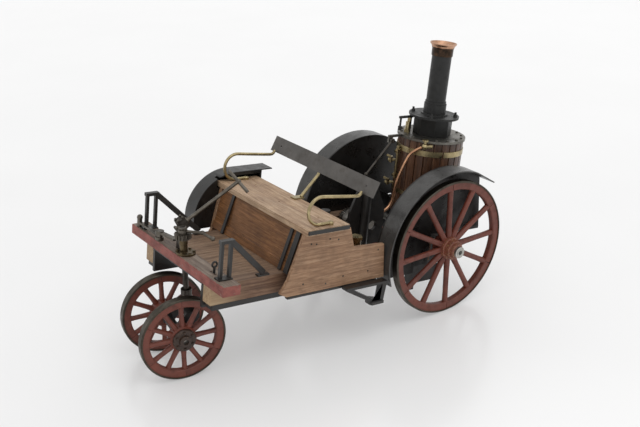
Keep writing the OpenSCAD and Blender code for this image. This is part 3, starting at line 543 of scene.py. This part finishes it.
def wheel_shapes(r, rim, hub_r, spoke_r):
    """Six felloes, twelve turned spokes and an iron tyre; the outer face is at Y = 0."""
    timber = Shape()
    inner, outer = r - rim, r - 1.75
    back, front = -TYRE_W + 0.65, -0.65
    edge = [(back, inner + 0.9), (back, outer), (front, outer), (front, inner + 0.9), (front - 0.85, inner),
            (back + 0.85, inner)]
    for k in range(6):
        timber.lathe(edge, 18, math.radians(60 * k + 0.25), math.radians(59.5), rng.uniform(0.3, 0.7))
    for k in range(12):
        a = math.radians(30 * k)
        out = Vector((math.sin(a), 0, math.cos(a)))
        across = Vector((math.cos(a), 0, -math.sin(a)))
        reach = inner - hub_r
        stations = [(hub_r - 2.5, 1.1, 1.15), (hub_r + 0.12 * reach, 1.1, 1.15),
                    (hub_r + 0.25 * reach, 1.0, 1.08), (hub_r + 0.55 * reach, 0.96, 1.0),
                    (hub_r + 0.82 * reach, 0.98, 1.0), (hub_r + 0.93 * reach, 1.08, 1.02),
                    (inner + 1.5, 1.1, 1.02)]
        rings = []
        for at, wide, deep in stations:
            rings.append([out * at + across * (wide * spoke_r * math.cos(q))
                          + Vector((0, -TYRE_W / 2 + deep * spoke_r * math.sin(q), 0))
                          for q in [2 * math.pi * i / 12 for i in range(12)]])
        timber.loft(rings, rng.uniform(0.3, 0.75))
    tyre = Shape()
    tyre.lathe([(-TYRE_W, r - 1.8), (-TYRE_W, r - 0.5), (-TYRE_W + 0.6, r), (-0.6, r), (0, r - 0.5),
                (0, r - 1.8)], 120)
    return timber, tyre


def cap_bolts(shape, circle, y0, y1, r):
    """Six hexagonal bolt heads in a circle, facing along Y."""
    for k in range(6):
        cx, cz = circle * math.sin(math.pi / 3 * k), circle * math.cos(math.pi / 3 * k)
        rings = []
        for y, scale in ((y0, 1.0), (y1 - 0.3, 1.0), (y1, 0.8)):
            rings.append([(cx + r * scale * math.cos(math.pi / 3 * i), y,
                           cz + r * scale * math.sin(math.pi / 3 * i)) for i in range(6)])
        shape.loft(rings)


def rear_wheel(side, matrix):
    name = "rear_wheel_" + side
    timber, tyre = wheel_shapes(REAR_R, 9, 12, 2.85)
    timber.lathe([(-16, 3.52), (-16, 9.6), (-14.6, 11), (-9, 12), (-3, 12), (-1.6, 11.6), (-1.6, 3.52)], 48)
    piece(name + "_timber", timber, matrix, "oxide", "rear_wheel_set", [name])
    piece(name + "_tyre", tyre, matrix, "tyre", "rear_wheel_set", ["rear_tyre_" + side])
    hub = Shape()
    for y0, y1, r in ((-2.0, 1.6, 11.9), (1.4, 7.2, 10.3)):
        rings = []
        for y, scale in ((y0, 1.0), (y1 - 0.7, 1.0), (y1, 0.93)):
            rings.append([(r * scale * math.cos(math.pi / 8 + math.pi / 4 * i), y,
                           r * scale * math.sin(math.pi / 8 + math.pi / 4 * i)) for i in range(8)])
        hub.loft(rings)
    hub.lathe([(6.9, 3.52), (6.9, 7.7), (10.0, 7.3), (10.9, 6.4), (10.9, 3.52)], 40)
    piece(name + "_hub", hub, matrix, "hub", "rear_wheel_set", bevel=0.25)


def front_wheel(side, matrix):
    name = "front_wheel_" + side
    body = name + "_set"
    timber, tyre = wheel_shapes(FRONT_R, 8.6, 12.6, 2.35)
    timber.lathe([(-11.7, 2.56), (-11.7, 10.4), (-10.4, 12.2), (-1.6, 12.4), (-0.2, 11.4), (-0.2, 2.56)], 48)
    piece(name + "_timber", timber, matrix, "oxide", body, [name])
    piece(name + "_tyre", tyre, matrix, "tyre", body, ["front_tyre_" + side])
    cap = Shape()
    cap.lathe([(-0.3, 2.56), (-0.3, 10.8), (1.6, 10.7), (2.4, 10.0), (2.6, 5.6), (4.4, 5.3), (5.3, 4.2),
               (5.6, 2.56)], 48)
    cap_bolts(cap, 8.1, 2.5, 3.9, 1.25)
    piece(name + "_cap", cap, matrix, "cap", body)


for side, flip in (("left", Matrix.Identity(4)), ("right", FLIP_Y)):
    rear_wheel(side, GROUND @ flip @ Matrix.Translation((0, 79.5, REAR_R)))
    front_wheel(side, BOGIE @ Matrix.Translation((15, 0, FRONT_R)) @ flip @ Matrix.Translation((0, 31.4, 0)))

# ---------------------------------------------------------------- boiler

STAVES = 24
staves = Shape()
for k in range(STAVES):
    centre = 2 * math.pi * k / STAVES
    half = math.pi / STAVES - math.radians(0.42)
    tone = rng.uniform(0.12, 0.9)
    rings = []
    for z, shrink in ((79.0, 0.5), (79.6, 0.0), (161.8, 0.0), (162.3, 0.5)):
        ring = []
        for q in (-1, -0.85, -0.4, 0, 0.4, 0.85, 1):
            r = LAGGING_R - shrink - (0.45 if abs(q) == 1 else 0)
            ring.append((BOILER_X + r * math.cos(centre + q * half), r * math.sin(centre + q * half), z))
        for q in (1, 0, -1):
            ring.append((BOILER_X + SHELL_R * math.cos(centre + q * half),
                         SHELL_R * math.sin(centre + q * half), z))
        rings.append(ring)
    staves.loft(rings, tone)
lagging = piece("boiler_staves", staves, BODY, "stave", "chassis", ["boiler_lagging"])


def cut_round(obj, matrix, r, length):
    """Drills a round hole along local X through a piece."""
    drill = Shape()
    drill.loft([[(x, r * math.cos(2 * math.pi * i / 48), r * math.sin(2 * math.pi * i / 48))
                 for i in range(48)] for x in (0, length)])
    mesh = bpy.data.meshes.new("drill")
    mesh.from_pydata([matrix @ Vector(v) for v in drill.verts], [], drill.faces)
    cutter = bpy.data.objects.new("drill", mesh)
    scene.collection.objects.link(cutter)
    mod = obj.modifiers.new("hole", "BOOLEAN")
    mod.operation = "DIFFERENCE"
    mod.solver = "EXACT"
    mod.object = cutter
    bpy.context.view_layer.update()
    cut = bpy.data.meshes.new_from_object(obj.evaluated_get(bpy.context.evaluated_depsgraph_get()))
    obj.modifiers.clear()
    obj.data = cut
    bpy.data.objects.remove(cutter)


cut_round(lagging, BODY @ Matrix.Translation((-72, 0, 92)), 9.3, 20)

# ---------------------------------------------------------------- brass and copper bars


def armrail(side, flip):
    low, top = 114.95, 141.0
    turn = (top - low) / 2
    lean = math.radians(6)
    path = [(150, 70, low), (157, 70, low)]
    for k in range(25):
        a = -math.pi / 2 + (math.pi + lean) * k / 24
        path.append((163 + turn * math.cos(a), 70, low + turn + turn * math.sin(a)))
    path += [(146, 70, 139.2), (130, 70, 137.5), (123, 70, 136.8), (120.4, 70, 136.9), (118.6, 70, 138.2),
             (116.9, 70, 140.6)]
    rail = Shape()
    rail.tube(path, lambda t: 1.55 if t < 0.97 else 1.55 - (t - 0.97) * 12, 16)
    foot = [[(150 + r * math.cos(2 * math.pi * i / 32), 70 + r * math.sin(2 * math.pi * i / 32), z)
             for i in range(32)] for z, r in ((113.32, 2.8), (115.6, 2.8), (116.6, 2.0))]
    rail.loft(foot)
    piece("armrail_bar_" + side, rail, BODY @ flip, "brass", "chassis", ["armrail_" + side])


armrail("left", Matrix.Identity(4))
armrail("right", FLIP_Y)

pipe = Shape()
pipe.tube(smooth_path([(0.8, 21.4, 158.6), (4.4, 17, 154.5), (9, 13, 148), (14.6, 11, 134), (19, 9.6, 118),
                       (20, 8, 100), (26, 7.9, 91.5), (37, 8, 88)]), lambda t: 1.5)
pipe.loft([[(37 + 2.8 * math.cos(math.pi / 3 * i), y, 88 + 2.8 * math.sin(math.pi / 3 * i))
            for i in range(6)] for y in (6, 9.9)])
piece("steam_pipe_bent", pipe, BODY, "copper", "chassis", ["steam_pipe"])

# ---------------------------------------------------------------- nails

nails = Shape()
for x, z in ((171, 98), (165, 97), (150, 100), (140, 98), (176, 60), (130, 60), (100, 60), (90, 80),
             (150, 56)):
    nails.loft([[(x + r * math.cos(math.pi / 6 * i), y, z + r * math.sin(math.pi / 6 * i)) for i in range(12)]
                for y, r in ((70.5, 0.9), (72.12, 0.9), (72.3, 0.5))])
for side, flip in (("left", Matrix.Identity(4)), ("right", FLIP_Y)):
    piece("panel_nails_" + side, nails, BODY @ flip, "iron", "chassis")

# ---------------------------------------------------------------- bolts on the steering head

COLUMN_TILT = math.radians(30.6)
SHAFT_FRAME = Matrix.Translation((257, -8, 102)) @ Matrix.Rotation(COLUMN_TILT - math.pi / 2, 4, "Y")
head_bolts = Shape()
for y in (-3.6, 1.1):
    for z in (-2.6, 2.6):
        seat = SHAFT_FRAME @ Matrix.Translation((5.5, y, z)) @ Matrix.Rotation(math.pi / 2, 4, "Y")
        rings = []
        for up, r in ((-0.3, 1.15), (1.2, 1.15), (1.5, 0.9)):
            rings.append([seat @ Vector((r * math.cos(math.pi / 3 * i), r * math.sin(math.pi / 3 * i), up))
                          for i in range(6)])
        head_bolts.loft(rings)
piece("steering_head_bolts", head_bolts, BODY, "bar", "chassis")

# ---------------------------------------------------------------- CAD nodes that stay

soften("rail", 0.6, "frame_rails", "cross_members")
soften("floor", 0.35, "floor_boards")
soften("side", 0.5, "side_panel_left", "side_panel_right")
soften("panel", 0.3, "seat_front_panel", "bay_bulkhead")
soften("seat", 0.7, "seat_plank")
soften("plank", 0.7, "front_plank")
soften("black", 0.3, "frame_irons", "front_stands", "steps", "steering_transom", "bogie_frame", "ash_pan",
       "fire_door", "safety_lever", "seat_irons", "engine_block", "axle_bearings")
soften("sheet", 0.3, "mudguard_left", "mudguard_right")
soften("back", 0.3, "backrest_plate")
soften("casing", 0.3, "side_casing")
soften("boiler", 0.3, "smokebox")
soften("iron", 0.3, "steering_box")
soften("bronze", 0.3, "column_bearing")
soften("bar", 0.3, "link_bar")
finish_nodes("boiler", "axle_gear", "boiler_shell", "chimney")
finish_nodes("iron", "kingpin", "regulator_lever")
finish_nodes("bar", "steering_gear", "steering_shaft")
finish_nodes("plate", "boiler_top")
finish_nodes("steel", "front_axle", "crankshaft", "crosshead", "connecting_rod")
finish_nodes("axle", "rear_axle")
finish_nodes("brass", "backrest_stay", "boiler_bands", "safety_valve", "water_gauge", "steam_valve",
             "feed_pump")
finish_nodes("lip", "chimney_cap")

# ---------------------------------------------------------------- floor

floor_tree = Tree("studio_floor")
speck = floor_tree.noise(floor_tree.turned(), 3, 2)
floor_tree.finish(floor_tree.grey(speck, 0.57, 0.59), floor_tree.grey(speck, 0.2, 0.24),
                  Emission_Strength=0.27)
floor_tree.shader.inputs["Emission Color"].default_value = (1.0, 1.0, 1.0, 1)
floor_mesh = bpy.data.meshes.new("floor")
corners = [(x, y, -0.0003) for x, y in ((-8, -8), (8, -8), (8, 8), (-8, 8))]
floor_mesh.from_pydata(corners, [], [(0, 1, 2, 3)])
floor_mesh.materials.append(floor_tree.mat)
floor = bpy.data.objects.new("floor", floor_mesh)
scene.collection.objects.link(floor)

bpy.context.view_layer.update()
